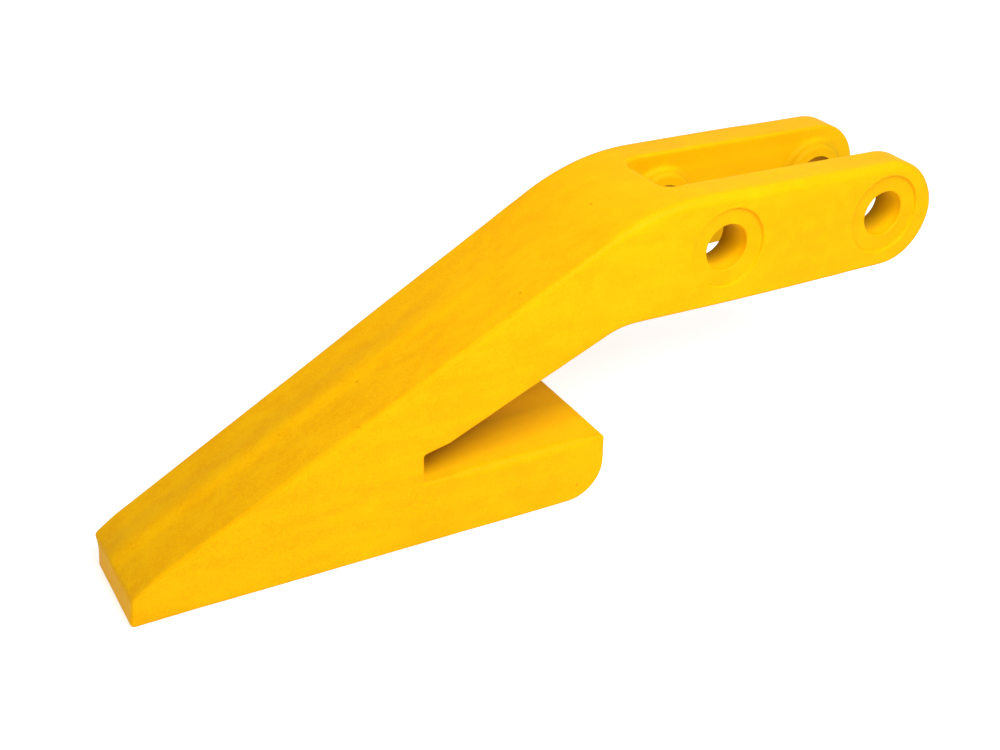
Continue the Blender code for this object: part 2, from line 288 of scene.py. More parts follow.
class Patchwork:
    """Collects grids of points for one half of the casting and joins them with their mirror image."""

    def __init__(self) -> None:
        """Start without grids."""
        self.points: list[np.ndarray] = []
        self.edge_shade: list[np.ndarray] = []
        self.faces: list[np.ndarray] = []
        self.count = 0

    def add(self, grid: np.ndarray, edge_shade: np.ndarray | float = 0.0) -> None:
        """Add a grid and its mirror image in the plane y = 0.

        Args:
            grid: points of shape (rows, columns, 3).
            edge_shade: how much painted shade each point gets on a rounded edge, 0 to 1, or one value for
                all.
        """
        rows, columns = grid.shape[:2]
        quads = grid_quads(rows, columns)
        for side in (1.0, -1.0):
            self.points.append(grid.reshape(-1, 3) * np.array([1.0, side, 1.0]))
            self.edge_shade.append(np.broadcast_to(edge_shade, (rows, columns)).reshape(-1))
            self.faces.append(quads + self.count)
            self.count += rows * columns

    def mesh(self, name: str) -> bpy.types.Mesh:
        """Weld the grids into one mesh whose faces point outwards.

        Args:
            name: the mesh's name.

        Returns:
            A closed mesh with the painted shade of its rounded edges as an attribute.
        """
        mesh = bpy.data.meshes.new(name)
        mesh.from_pydata(np.concatenate(self.points), [], np.concatenate(self.faces))
        layer = mesh.attributes.new(EDGE_SHADE_ATTRIBUTE, "FLOAT", "POINT")
        layer.data.foreach_set("value", np.concatenate(self.edge_shade).astype(np.float32))
        open_edges = weld(mesh, 2e-6)
        log.info("%s: %d vertices, %d open edges", name, len(mesh.vertices), open_edges)
        return mesh


@dataclass(frozen=True)
class BoltHole:
    """One bolt hole through both ears, with its spot faces and the pad inside the far ear.

    Its axis lies at x from the tip and at the height z. From the middle, ear is the distance of the
    ears' outer faces and wall that of the slot's walls. All sizes are in metres.
    """

    x: float
    z: float
    ear: float
    wall: float
    bore_radius: float = 0.0104
    bore_chamfer: float = 0.0004
    bore_draft: float = 0.0002
    spot_radius: float = 0.0180
    spot_depth: float = 0.0013
    spot_rim: float = 0.0008
    spot_fillet: float = 0.0006
    cutter_overrun: float = 0.0003
    cutter_reach: float = 0.0100
    pad_radius: float = 0.0162
    pad_height: float = 0.0048
    pad_edge: float = 0.0024
    pad_root: float = 0.0040
    facets: int = 96

    def pad_face(self) -> float:
        """Return the distance of the pad's face from the middle."""
        return self.wall - self.pad_height

    def cutter(self) -> bpy.types.Object:
        """Turn the hole's cutter.

        Its profile runs from beyond the far ear to beyond the near one: a spot face with a soft rim
        and foot, the bore with broken edges and, in the near ear, a little draft, and the other spot
        face. It is bevelled past the pad's face, so that it shares no ring of points with it.

        Returns:
            A closed solid.
        """
        seat = self.ear - self.spot_depth
        bore, chamfer, overrun = self.bore_radius, self.bore_chamfer, self.cutter_overrun
        outer = np.concatenate([
            [[0.0, self.ear + self.cutter_reach]],
            [[self.spot_radius + self.spot_rim, self.ear + self.cutter_reach]],
            round_profile(self.spot_radius, self.ear, self.spot_rim, self.spot_fillet - self.spot_depth),
            round_profile(self.spot_radius, seat, -self.spot_fillet, self.spot_fillet)[::-1][1:],
            [[bore + chamfer, seat], [bore, seat - chamfer]],
        ])
        inner = [
            [bore, self.pad_face() + chamfer],
            [bore + chamfer + overrun, self.pad_face() - overrun],
            [bore, -self.wall],
            [bore - self.bore_draft, -self.wall - self.bore_draft],
        ]
        near = outer[::-1] * np.array([1.0, -1.0])
        return self.turned(np.concatenate([outer, inner, near]), "hole_cutter")

    def pad(self) -> bpy.types.Object:
        """Turn the pad round the hole: a flat boss on the far ear's inner wall, with soft edges.

        Its facets start half a facet further round than the cutter's, so that no edges line up.

        Returns:
            A closed solid, rooted in the ear.
        """
        face, soft = self.pad_face(), self.pad_edge
        profile = np.concatenate([
            [[0.0, self.wall + self.pad_root], [self.pad_radius + soft, self.wall + self.pad_root]],
            round_profile(self.pad_radius, self.wall, soft, -soft),
            round_profile(self.pad_radius, face, -soft, soft)[::-1],
            [[0.0, face]],
        ])
        return self.turned(profile, "pad", 0.5)

    def turned(self, profile: np.ndarray, name: str, start: float = 0.0) -> bpy.types.Object:
        """Turn a closed profile about the hole's axis.

        The point at radius r, height h and angle a is (x + r cos a, h, z + r sin a).

        Args:
            profile: points (radius, height), from the axis out and back to it.
            name: the object's name.
            start: how far round the first facet starts, in facets.

        Returns:
            A closed solid, which is linked to the scene.
        """
        turn = (np.arange(self.facets + 1) + start) * 2 * math.pi / self.facets
        radius, height = profile[:, :1], profile[:, 1:]
        x, z = self.x + radius * np.cos(turn), self.z + radius * np.sin(turn)
        grid = np.stack([x, height + 0 * turn, z], -1)
        mesh = bpy.data.meshes.new(name)
        mesh.from_pydata(grid.reshape(-1, 3), [], grid_quads(*grid.shape[:2]))
        weld(mesh, 1e-6)
        return new_object(name, mesh)


@dataclass(frozen=True)
class RecessShade:
    """How the painted shade in a recess deepens with the depth, where shade falls.

    One ramp, between two depths, paints the greener shade of the mouth, and another the brown shade deep
    inside, whose end adds most.
    """

    mouth_shade: tuple[float, float]
    deep_shade: tuple[float, float]
    most: float

    def shade_at(self, depth: np.ndarray, share: np.ndarray) -> np.ndarray:
        """Return the painted shade at some depths. The ramp of the brown shade reads share, a depth or one
        over a gap.
        """
        return MOUTH_SHADE_SHARE * smooth_step(depth, *self.mouth_shade) + self.most * smooth_step(share, *self.deep_shade)


@dataclass
class ToothCasting:
    """The casting: nose, heel, strap and ears in one surface. All sizes are in metres."""

    length: float = 0.3778
    tip_width: float = 0.0516
    rear_width: float = 0.0707
    taper_length: float = 0.274
    taper_blend: float = 0.016
    strap_top: float = 0.1313
    strap_depth: float = 0.0507
    strap_top_fall: float = math.radians(2.1)
    strap_underside_fall: float = math.radians(0.7)
    end_fullness: float = 0.9995
    nose_slope: float = math.radians(27.4)
    front_lean: float = 0.0015
    front_height: float = 0.0121
    front_foot_radius: float = 0.0018
    front_top_radius: float = 0.0042
    shoulder: tuple[float, float] = (0.0108, 0.0187)
    shoulder_radius: float = 0.0200
    bend_radius: float = 0.1000
    arm_slope: float = math.radians(24.2)
    arm_radius: float = 0.0350
    land_run: float = 0.0113
    land_slope: float = math.radians(13.0)
    land_radius: float = 0.0120
    notch_x: float = 0.1245
    notch_roof: float = 0.0432
    notch_floor: float = 0.0300
    notch_radius: float = 0.0015
    roof_slope: float = math.radians(21.0)
    heel_x: float = 0.2093
    heel_top: float = 0.0302
    heel_top_radius: float = 0.0022
    heel_foot_radius: float = 0.0175
    front_hole_x: float = 0.2652
    hole_spacing: float = 0.0858
    hole_drop: float = 0.0246
    hole_line_fall: float = math.radians(1.45)
    slot_half: float = 0.01725
    slot_front_x: float = 0.2440
    slot_fillet: float = 0.0070
    slot_edge: float = 0.0015
    mouth_flare: float = 0.0012
    mouth_flare_length: float = 0.0245
    # The rounding of the edges, and between which distances from the tip it changes.
    nose_edge: float = 0.0024
    strap_edge: float = 0.0042
    lower_edge: float = 0.0013
    heel_edge: float = 0.0036
    tip_edge: float = 0.0014
    tip_ramp: tuple[float, float] = (0.003, 0.016)
    strap_ramp: tuple[float, float] = (0.190, 0.250)
    heel_ramp: tuple[float, float] = (0.1275, 0.150)
    heel_end_ramp: tuple[float, float] = (0.190, 0.206)
    slot_edge_run: float = 0.0100
    # What the mould and the ground left: the ridge, the foot's far corner and the waves. Each wave
    # has its height and its length in millimetres, and the seed of its noise.
    ridge_height: float = 0.0010
    ridge_near: float = 0.0080
    ridge_far: float = 0.0140
    ridge_crest: float = 0.0030
    ridge_end: float = 0.1850
    ridge_fade: float = 0.0600
    foot_skew: float = 0.0040
    foot_ramp: tuple[float, float] = (0.0175, 0.0265)
    foot_length: float = 0.0250
    mould_waves: tuple[tuple[float, float, int], ...] = ((0.11, 34.0, 3), (0.05, 13.0, 5), (0.025, 5.0, 8))
    # Painted shade where shade falls in the recesses, and round the foot of each pad.
    notch_shade: RecessShade = RecessShade((0.0, 0.005), (0.5, 1.6), 0.75)
    bore_shade: RecessShade = RecessShade((0.0010, 0.0030), (0.0022, 0.0120), 0.68)
    slot_shade: RecessShade = RecessShade((0.004, 0.012), (0.004, 0.040), 0.12)
    pad_foot_shade: float = 0.22
    pad_foot_reach: float = 0.0034
    # The mesh: steps along and across, and the angle above which an edge is crisp.
    spacing: float = 0.0019
    turn_step: float = math.radians(9.0)
    edge_steps: int = 7
    inner_columns: int = 12
    outer_columns: int = 9
    crown_start: float = 0.4
    crease: float = math.radians(38.0)
    patches: Patchwork = field(default_factory=Patchwork)

    def __post_init__(self) -> None:
        """Lay out the side outline and mark where its stretches start and end."""
        self.outline = SideOutline(self.corners(), self.spacing, self.turn_step)
        places = (self.front_hole_x, self.front_hole_x + self.hole_spacing)
        self.holes = [BoltHole(x, self.hole_z(x), self.rear_width / 2, self.slot_half) for x in places]
        self.slot_reach = self.slot_fillet + self.slot_edge
        diagonal = self.slot_reach * math.sqrt(0.5)
        self.split = self.slot_front_x + self.slot_fillet - diagonal
        self.split_y = self.slot_half - self.slot_fillet + diagonal
        self.crown_y = self.split_y * np.linspace(0.0, 1.0, self.inner_columns + 1)
        self.fillet_end = self.slot_front_x + self.slot_fillet
        notch_inset = self.notch_x - self.lower_edge
        find = self.outline.find_x
        _, tip, _, _, ear_top, ear_bottom, _, land, roof, floor, heel_top, heel_foot = self.outline.middle
        end = float(self.outline.length[-1])
        self.marks = {
            "foot": 0.0,
            "tip": tip,
            "top_notch": find(notch_inset, tip, ear_top),
            "top_split": find(self.split, tip, ear_top),
            "top_fillet": find(self.fillet_end, tip, ear_top),
            "ear_top": ear_top,
            "ear_bottom": ear_bottom,
            "under_fillet": find(self.fillet_end, ear_bottom, land),
            "under_split": find(self.split, ear_bottom, land),
            "roof": roof,
            "floor": floor,
            "heel_top": heel_top,
            "heel_foot": heel_foot,
            "sole_notch": find(notch_inset, heel_foot, end),
            "end": end,
        }

    def top_z(self, x: float) -> float:
        """Return the height of the strap's upper face at x from the tip."""
        return self.strap_top - (x - self.front_hole_x) * math.tan(self.strap_top_fall)

    def under_z(self, x: float) -> float:
        """Return the height of the strap's lower face at x from the tip."""
        fall = (x - self.front_hole_x) * math.tan(self.strap_underside_fall)
        return self.strap_top - self.strap_depth - fall

    def hole_z(self, x: float) -> float:
        """Return the height of the bolt hole's axis at x from the tip."""
        return self.strap_top - self.hole_drop - (x - self.front_hole_x) * math.tan(self.hole_line_fall)

    def corners(self) -> list[Corner]:
        """Work out the corners of the side outline.

        The bend and the arm's lower end are where two slopes meet. The ears end almost in a half
        circle: at an end_fullness of 1 its two roundings would take up all of the strap's depth.

        Returns:
            The corners, clockwise from the foot of the front face.
        """
        shoulder = self.shoulder
        land = (self.notch_x + self.land_run, self.notch_roof + self.land_run * math.tan(self.land_slope))
        nose_rise, top_fall = math.tan(self.nose_slope), math.tan(self.strap_top_fall)
        bend_x = shoulder[0] + (self.top_z(shoulder[0]) - shoulder[1]) / (nose_rise + top_fall)
        under_rise, under_fall = math.tan(self.arm_slope), math.tan(self.strap_underside_fall)
        under_x = land[0] + (self.under_z(land[0]) - land[1]) / (under_rise + under_fall)
        height = self.top_z(self.length) - self.under_z(self.length)
        upper = math.tan((math.pi / 2 - self.strap_top_fall) / 2)
        lower = math.tan((math.pi / 2 + self.strap_underside_fall) / 2)
        end_radius = self.end_fullness * height / (upper + lower)
        return [
            Corner(0.0, 0.0, self.front_foot_radius),
            Corner(self.front_lean, self.front_height, self.front_top_radius),
            Corner(*shoulder, self.shoulder_radius),
            Corner(bend_x, self.top_z(bend_x), self.bend_radius),
            Corner(self.length, self.top_z(self.length), end_radius),
            Corner(self.length, self.under_z(self.length), end_radius),
            Corner(under_x, self.under_z(under_x), self.arm_radius),
            Corner(*land, self.land_radius),
            Corner(self.notch_x, self.notch_roof, self.notch_radius),
            Corner(self.notch_x, self.notch_floor, self.notch_radius),
            Corner(self.heel_x, self.heel_top, self.heel_top_radius),
            Corner(self.heel_x, 0.0, self.heel_foot_radius),
        ]

    def half_width(self, x: np.ndarray) -> np.ndarray:
        """Half the casting's width: a straight taper that eases into parallel ears.

        Within the blend the taper's share falls off with the square of the distance to its end.

        Args:
            x: distances from the tip.

        Returns:
            The flank's distance from the middle at each.
        """
        taper = (self.rear_width - self.tip_width) / 2 / self.taper_length
        past = np.asarray(x, float) - self.taper_length
        eased = np.where(
            np.abs(past) < self.taper_blend,
            -((self.taper_blend - past) ** 2) / (4 * self.taper_blend),
            np.minimum(past, 0.0),
        )
        return self.rear_width / 2 + taper * eased

    def slot_wall(self, x: np.ndarray) -> np.ndarray:
        """The slot's half width: a round fillet at the front, a straight wall and a flared mouth.

        Args:
            x: distances from the tip.

        Returns:
            The wall's distance from the middle at each.
        """
        inside = np.clip(self.fillet_end - np.asarray(x, float), 0.0, self.slot_fillet)
        fillet = np.sqrt(self.slot_fillet ** 2 - inside ** 2) - self.slot_fillet
        flare = np.clip((x - self.length) / self.mouth_flare_length + 1.0, 0.0, 1.0)
        return self.slot_half + fillet + self.mouth_flare * flare

    def edge_radius(self, points: np.ndarray, normals: np.ndarray) -> np.ndarray:
        """The rounding between flank and rim at some outline points.

        Faces that look up have soft edges, softest on the strap, and all others have crisp ones.

        Args:
            points: outline points (x, z).
            normals: unit normals into the metal at those points.

        Returns:
            A radius for each point.
        """
        x, z = points[..., 0], points[..., 1]
        upper = self.tip_edge + (self.nose_edge - self.tip_edge) * smooth_step(x, *self.tip_ramp)
        upper = upper + (self.strap_edge - self.nose_edge) * smooth_step(x, *self.strap_ramp)
        on_heel = (x > self.notch_x - 1e-5) & (z < self.notch_roof)
        softer = self.heel_edge - self.lower_edge
        heel = self.lower_edge + softer * smooth_step(x, *self.heel_ramp)
        heel = heel - softer * smooth_step(x, *self.heel_end_ramp)
        upper = np.where(on_heel, heel, upper)
        rise = np.clip(-normals[..., 1], 0.0, 1.0)
        return self.lower_edge + (upper - self.lower_edge) * rise

    def ridge(self, x: np.ndarray, y: np.ndarray, rise: np.ndarray) -> np.ndarray:
        """The ridge's height: a raised cosine across, which fades towards the bend and the front face.

        Args:
            x: distances from the tip.
            y: distances from the middle, positive on the far side.
            rise: how far the surface looks up, 0 to 1, and 0 off the nose.

        Returns:
            A height for each point.
        """
        across = y - self.ridge_crest
        half = np.where(across < 0, self.ridge_near, self.ridge_far)
        swell = 0.5 + 0.5 * np.cos(np.pi * np.clip(across / half, -1.0, 1.0))
        fade = 1.0 - smooth_step(x, self.ridge_end - self.ridge_fade, self.ridge_end)
        return self.ridge_height * swell * fade * smooth_step(rise, 0.1, 0.8)

    def add(self, place: np.ndarray, y: np.ndarray, edge_shade: np.ndarray | float = 0.0) -> np.ndarray:
        """Add a patch to the surface.

        Args:
            place: points (x, z) in rows and columns, or in one of them, repeated along the other.
            y: their distances from the middle, or one row or column of them.
            edge_shade: how much painted shade each gets on a rounded edge.

        Returns:
            The patch as points in space.
        """
        x, y, z = np.broadcast_arrays(place[..., 0], y, place[..., 1])
        patch = np.stack([x, y, z], -1)
        self.patches.add(patch, edge_shade)
        return patch

    def quarter(self, radius: np.ndarray | float) -> tuple[np.ndarray, np.ndarray, np.ndarray]:
        """Return how far a rounded edge lies below each of its two faces, and how much painted shade it
        gets.

        At the angle a these are r (1 - cos a), r (1 - sin a) and the square of sin 2a.
        """
        angle = np.linspace(0.0, math.pi / 2, self.edge_steps + 1)[None]
        return radius * (1 - np.cos(angle)), radius * (1 - np.sin(angle)), np.sin(2 * angle) ** 2

    def outer_rounding(self, lengths: np.ndarray) -> np.ndarray:
        """Add the rounding between rim and flank along a stretch.

        Args:
            lengths: path lengths of the stretch.

        Returns:
            The inset outline (x, z) on the flank.
        """
        points, normals = self.outline.at(lengths)
        inset, gap, edge_shade = self.quarter(self.edge_radius(points, normals)[:, None])
        place = points[:, None] + normals[:, None] * inset[..., None]
        self.add(place, self.half_width(place[..., 0]) - gap, edge_shade)
        return place[:, -1]

    def rim(self, lengths: np.ndarray, beside_slot: bool) -> None:
        """Add the outer part of the rim along a stretch, out to the rounding.

        Args:
            lengths: path lengths of the stretch.
            beside_slot: whether it starts at the slot's edge, or else at the crown's.
        """
        points, normals = self.outline.at(lengths)
        outer = self.half_width(points[:, 0]) - self.edge_radius(points, normals)
        start = self.slot_rim(points[:, 0])
        if not beside_slot:
            start = np.where(points[:, 0] > self.split - 1e-7, start, self.split_y)
        y = between(start, outer, self.outer_columns).T
        self.add(points[:, None], y)

    def slot_rim(self, x: np.ndarray) -> np.ndarray:
        """Where the slot's rounded edge starts on the rim.

        Args:
            x: distances from the tip.

        Returns:
            Its distance from the middle at each.
        """
        inside = np.clip(self.fillet_end - np.asarray(x, float), 0.0, self.slot_reach)
        arc = self.slot_half - self.slot_fillet + np.sqrt(self.slot_reach ** 2 - inside ** 2)
        return np.where(x < self.fillet_end, arc, self.slot_wall(x) + self.slot_edge)

    def crown(self, lengths: np.ndarray, at_slot: bool) -> np.ndarray:
        """Add the middle part of the rim along a stretch, and return its last row if it meets the slot.

        Where the stretch runs up to the slot, its rows are drawn back from crown_start on, so that
        the last one follows the slot's front edge: straight in the middle, and round towards the
        fillet.

        Args:
            lengths: path lengths of the stretch, which ends at the slot where at_slot is set.
            at_slot: whether the slot's front edge closes this stretch.

        Returns:
            Path lengths of the last row, one for each column.
        """
        y = self.crown_y
        rows = np.repeat(lengths[:, None], len(y), axis=1)
        if at_slot:
            past = np.clip(y - (self.slot_half - self.slot_fillet), 0.0, None)
            front = self.fillet_end - np.sqrt(self.slot_reach ** 2 - past ** 2)
            low, high = min(lengths[0], lengths[-1]), max(lengths[0], lengths[-1])
            ends = np.array([self.outline.find_x(x, low, high) for x in front])
            span = abs(lengths[-1] - lengths[0])
            weight = smooth_step(np.abs(lengths - lengths[0]), self.crown_start * span, span)
            rows = rows + weight[:, None] * (ends - lengths[-1])[None]
        points, _ = self.outline.at(rows)
        self.add(points, y)
        return rows[-1]

    def slot_rounding(self, lengths: np.ndarray) -> np.ndarray:
        """Add the rounding between rim and slot wall along a stretch beside the slot.

        Args:
            lengths: path lengths of the stretch.

        Returns:
            The points (x, z) where it meets the wall.
        """
        points, normals = self.outline.at(lengths)
        follow = smooth_step(points[:, 0], self.fillet_end, self.fillet_end + self.slot_edge_run)[:, None]
        flat = np.array([0.0, 1.0]) * np.sign(normals[:, 1:])
        inward = flat * (1 - follow) + normals * follow
        inward = inward / np.linalg.norm(inward, axis=1, keepdims=True)
        inset, gap, edge_shade = self.quarter(self.slot_edge)
        place = points[:, None] + inward[:, None] * inset[..., None]
        ahead = np.clip(self.fillet_end - points[:, 0], 0.0, None)[:, None] / self.slot_reach
        beside = np.sqrt(1 - np.clip(ahead, 0.0, 1.0) ** 2)
        in_fillet = ahead > 1e-9
        x = np.where(in_fillet, self.fillet_end - ahead * (self.slot_fillet + gap), place[..., 0])
        y_fillet = self.slot_half - self.slot_fillet + beside * (self.slot_fillet + gap)
        y = np.where(in_fillet, y_fillet, self.slot_wall(place[..., 0]) + gap)
        place = np.stack([x, place[..., 1]], -1)
        self.add(place, y, edge_shade)
        return place[:, -1]

    def slot_front(self, top: np.ndarray, under: np.ndarray, rows: int) -> None:
        """Add the slot's front wall, with both of its rounded edges and half of each fillet.

        Args:
            top: path lengths of the edge on the strap's upper face, one for each column.
            under: path lengths of the edge on the underside, one for each column.
            rows: how many steps the wall takes from bottom to top.
        """
        y = self.crown_y
        past = np.clip(y - (self.slot_half - self.slot_fillet), 0.0, None) / self.slot_reach
        ahead = np.sqrt(1 - past ** 2)
        inset, gap, edge_shade = self.quarter(self.slot_edge)
        x = self.fillet_end - ahead[:, None] * (self.slot_fillet + gap)
        in_fillet = self.slot_half - self.slot_fillet + past[:, None] * (self.slot_fillet + gap)
        side = np.where(past[:, None] > 0, in_fillet, y[:, None])
        edges = []
        for lengths, sign in ((top, -1.0), (under, 1.0)):
            start = self.outline.at(lengths)[0]
            place = np.stack([x, start[:, 1:] + sign * inset], -1)
            edges.append(self.add(place, side, edge_shade)[:, -1:])
        self.patches.add(between(edges[1], edges[0], rows))

    def flank(self, block: np.ndarray) -> None:
        """Add a filled block (x, z) of the flank."""
        self.add(block, self.half_width(block[..., 0]))

    def wall(self, block: np.ndarray) -> None:
        """Add a filled block (x, z) of the slot's wall."""
        self.add(block, self.slot_wall(block[..., 0]))

    def steps(self, *stretches: tuple[str, str]) -> int:
        """Return how many steps the longest of some stretches needs, each given by its two marks."""
        return max(self.outline.steps(self.marks[start], self.marks[end]) for start, end in stretches)

    def surface(self) -> bpy.types.Mesh:
        """Build the casting's surface without its pads and bolt holes.

        The outline is cut into stretches. Each carries its rounding and its rim, and those before
        the slot a crown. Then the flank is filled in three blocks, trunk, heel and arm, and the
        slot's wall in one.

        Returns:
            A closed mesh.
        """
        mark, cut = self.marks, self.outline.stretch
        arm_rows = self.steps(("ear_top", "ear_bottom"))
        wall_rows = self.steps(("roof", "floor"))
        heel_rows = self.steps(("heel_top", "heel_foot"))
        trunk = self.steps(("tip", "top_notch"), ("sole_notch", "end"))
        arm = self.steps(("top_notch", "top_split"), ("under_split", "roof"))
        fillet = self.steps(("top_split", "top_fillet")) + 2
        ear = self.steps(("top_fillet", "ear_top"), ("ear_bottom", "under_fillet"))
        heel = self.steps(("floor", "heel_top"), ("heel_foot", "sole_notch"))
        plan = [
            ("front", "foot", "tip", arm_rows + wall_rows + heel_rows),
            ("nose", "tip", "top_notch", trunk),
            ("arm", "top_notch", "top_split", arm),
            ("top_fillet", "top_split", "top_fillet", fillet),
            ("ear", "top_fillet", "ear_top", ear),
            ("ear_end", "ear_top", "ear_bottom", arm_rows),
            ("under_ear", "ear_bottom", "under_fillet", ear),
            ("under_fillet", "under_fillet", "under_split", fillet),
            ("under_arm", "under_split", "roof", arm),
            ("notch", "roof", "floor", wall_rows),
            ("heel", "floor", "heel_top", heel),
            ("heel_end", "heel_top", "heel_foot", heel_rows),
            ("heel_sole", "heel_foot", "sole_notch", heel),
            ("sole", "sole_notch", "end", trunk),
        ]
        stretch = {name: cut(mark[start], mark[end], count) for name, start, end, count in plan}
        inset = {name: self.outer_rounding(lengths) for name, lengths in stretch.items()}
        beside = ("top_fillet", "ear", "ear_end", "under_ear", "under_fillet")
        for name, lengths in stretch.items():
            self.rim(lengths, name in beside)
            if name not in beside and name not in ("arm", "under_arm"):
                self.crown(lengths, False)
        top_edge = self.crown(stretch["arm"], True)
        under_edge = self.crown(stretch["under_arm"][::-1], True)
        self.slot_front(top_edge, under_edge, arm_rows)
        arm_left = between(inset["under_arm"][-1], inset["arm"][0], arm_rows)
        heel_left = between(inset["heel_sole"][-1], inset["heel"][0], heel_rows)
        trunk_right = chain(heel_left, inset["notch"][::-1], arm_left)
        self.flank(coons(inset["sole"][::-1], inset["nose"], inset["front"], trunk_right))
        self.flank(coons(inset["heel_sole"][::-1], inset["heel"], heel_left, inset["heel_end"][::-1]))
        top = chain(inset["arm"], inset["top_fillet"], inset["ear"])
        under = chain(inset["under_ear"], inset["under_fillet"], inset["under_arm"])[::-1]
        self.flank(coons(under, top, arm_left, inset["ear_end"][::-1]))
        wall = {name: self.slot_rounding(stretch[name]) for name in beside}
        top = chain(wall["top_fillet"], wall["ear"])
        under = chain(wall["under_ear"], wall["under_fillet"])[::-1]
        self.wall(coons(under, top, between(under[0], top[0], arm_rows), wall["ear_end"][::-1]))
        return self.patches.mesh("casting_surface")

    def weather(self, mesh: bpy.types.Mesh) -> None:
        """Move the surface along its normals by the ridge and by the waves that a sand mould leaves.

        The ridge is kept to the nose's upper face, and fades towards the front face. The far corner
        of the tip's foot is drawn back by foot_skew, as the photograph shows it.

        Args:
            mesh: the casting's surface, which is changed in place.
        """
        count = len(mesh.vertices)
        points = np.empty(count * 3)
        normals = np.empty(count * 3, np.float32)
        mesh.vertices.foreach_get("co", points)
        mesh.vertices.foreach_get("normal", normals)
        points, normals = points.reshape(-1, 3), normals.reshape(-1, 3)
        roof = self.notch_roof * np.clip(points[:, 0] / self.notch_x, 0.0, 1.0)
        height = self.ridge(points[:, 0], points[:, 1], normals[:, 2] * (points[:, 2] > roof))
        for amplitude, wavelength, seed in self.mould_waves:
            height += amplitude * MM * value_noise(points, wavelength * MM, seed)
        points = points + normals * height[:, None]
        low_down = np.clip(1 - points[:, 2] / self.front_height, 0.0, 1.0)
        skew = smooth_step(points[:, 1], *self.foot_ramp) * low_down
        points[:, 0] += self.foot_skew * skew * (1 - smooth_step(points[:, 0], 0.0, self.foot_length))
        mesh.vertices.foreach_set("co", points.reshape(-1))
        mesh.update()

    def shelter(self, mesh: bpy.types.Mesh) -> None:
        """Write how much painted shade each point gets, 0 to 1, by how deep it lies in a recess where shade
        falls.

        In the notch the depth is the distance from the flank over the gap between heel and nose, in
        the bolt holes the distance from the ear's face, and in the slot the depth below the strap's
        top, with more at the foot of each pad.

        Args:
            mesh: the finished casting, which gets the attribute.
        """
        points = np.empty(len(mesh.vertices) * 3)
        mesh.vertices.foreach_get("co", points)
        x, y, z = points.reshape(-1, 3).T
        into = self.half_width(x) - np.abs(y)
        roof = self.notch_roof + (x - self.notch_x) * math.tan(self.roof_slope)
        in_notch = (x > self.notch_x - MM) & (x < self.heel_x + 0.2 * MM)
        in_notch = in_notch & (z > self.notch_floor - 3 * MM) & (z < roof + MM)
        gap = np.clip(roof - self.notch_floor, 10 * MM, None)
        notch = self.notch_shade.shade_at(into, into / gap) * in_notch
        bore, foot = np.zeros(len(x)), np.zeros(len(x))
        for hole in self.holes:
            radius = np.hypot(x - hole.x, z - hole.z)
            in_bore = radius < hole.bore_radius + 0.3 * MM
            bore = np.maximum(bore, self.bore_shade.shade_at(into, into) * in_bore)
            close = np.clip(1 - np.abs(radius - hole.pad_radius) / self.pad_foot_reach, 0.0, 1.0)
            foot = np.maximum(foot, close * (y > hole.pad_face() - 0.5 * MM))
        in_slot = (x > self.slot_front_x - MM) & (np.abs(y) < self.slot_wall(x) + 0.5 * MM)
        depth = self.strap_top - z
        slot = (self.slot_shade.shade_at(depth, depth) + self.pad_foot_shade * foot) * in_slot
        layer = mesh.attributes.new(PAINTED_SHADE_ATTRIBUTE, "FLOAT", "POINT")
        layer.data.foreach_set("value", np.maximum.reduce([notch, bore, slot]).astype(np.float32))

    def build(self) -> bpy.types.Object:
        """Build the casting: the pads are joined to its surface first, and then the holes are cut.

        Returns:
            The finished casting in the row frame.
        """
        mesh = self.surface()
        self.weather(mesh)
        casting = new_object("tooth_casting", mesh)
        tools = [(Joining.ADD, hole.pad()) for hole in self.holes]
        tools += [(Joining.CUT, hole.cutter()) for hole in self.holes]
        for joining, tool in tools:
            modifier = casting.modifiers.new(tool.name, "BOOLEAN")
            modifier.operation = joining.value
            modifier.solver = "EXACT"
            modifier.object = tool
        bpy.context.view_layer.update()
        graph = bpy.context.evaluated_depsgraph_get()
        finished = bpy.data.meshes.new_from_object(casting.evaluated_get(graph))
        casting.modifiers.clear()
        casting.data = finished
        for _, tool in tools:
            bpy.data.objects.remove(tool, do_unlink=True)
        self.shelter(finished)
        finished.transform(Matrix.Translation((-self.length / 2, 0, 0)))
        finished.shade_smooth()
        finished.set_sharp_from_angle(angle=self.crease)
        log.info("casting: %d faces", len(finished.polygons))
        return casting


def linear(code: str) -> tuple[float, float, float, float]:
    """Turn an sRGB colour linear.

    Args:
        code: a hex colour such as #F8B912.

    Returns:
        Red, green, blue and alpha.
    """
    parts = [int(code[index:index + 2], 16) / 255 for index in (1, 3, 5)]
    red, green, blue = (c / 12.92 if c <= 0.04045 else ((c + 0.055) / 1.055) ** 2.4 for c in parts)
    return red, green, blue, 1.0


def add_node(
    tree: bpy.types.NodeTree, kind: str, settings: dict | None = None, **links: object,
) -> bpy.types.Node:
    """Add a node, set it and link it.

    Args:
        tree: the node tree that takes the node.
        kind: the node's type, without ShaderNode before it.
        settings: attributes of the node, such as operation.
        links: input names, with _ for a space, or i and a number for an input by its place. A
            value is an output socket to link or a constant.

    Returns:
        The new node.
    """
    node = tree.nodes.new("ShaderNode" + kind)
    for name, value in (settings or {}).items():
        setattr(node, name, value)
    for name, value in links.items():
        socket = node.inputs[int(name[1:])] if name[1:].isdigit() else node.inputs[name.replace("_", " ")]
        if isinstance(value, bpy.types.NodeSocket):
            tree.links.new(value, socket)
        else:
            socket.default_value = value
    return node


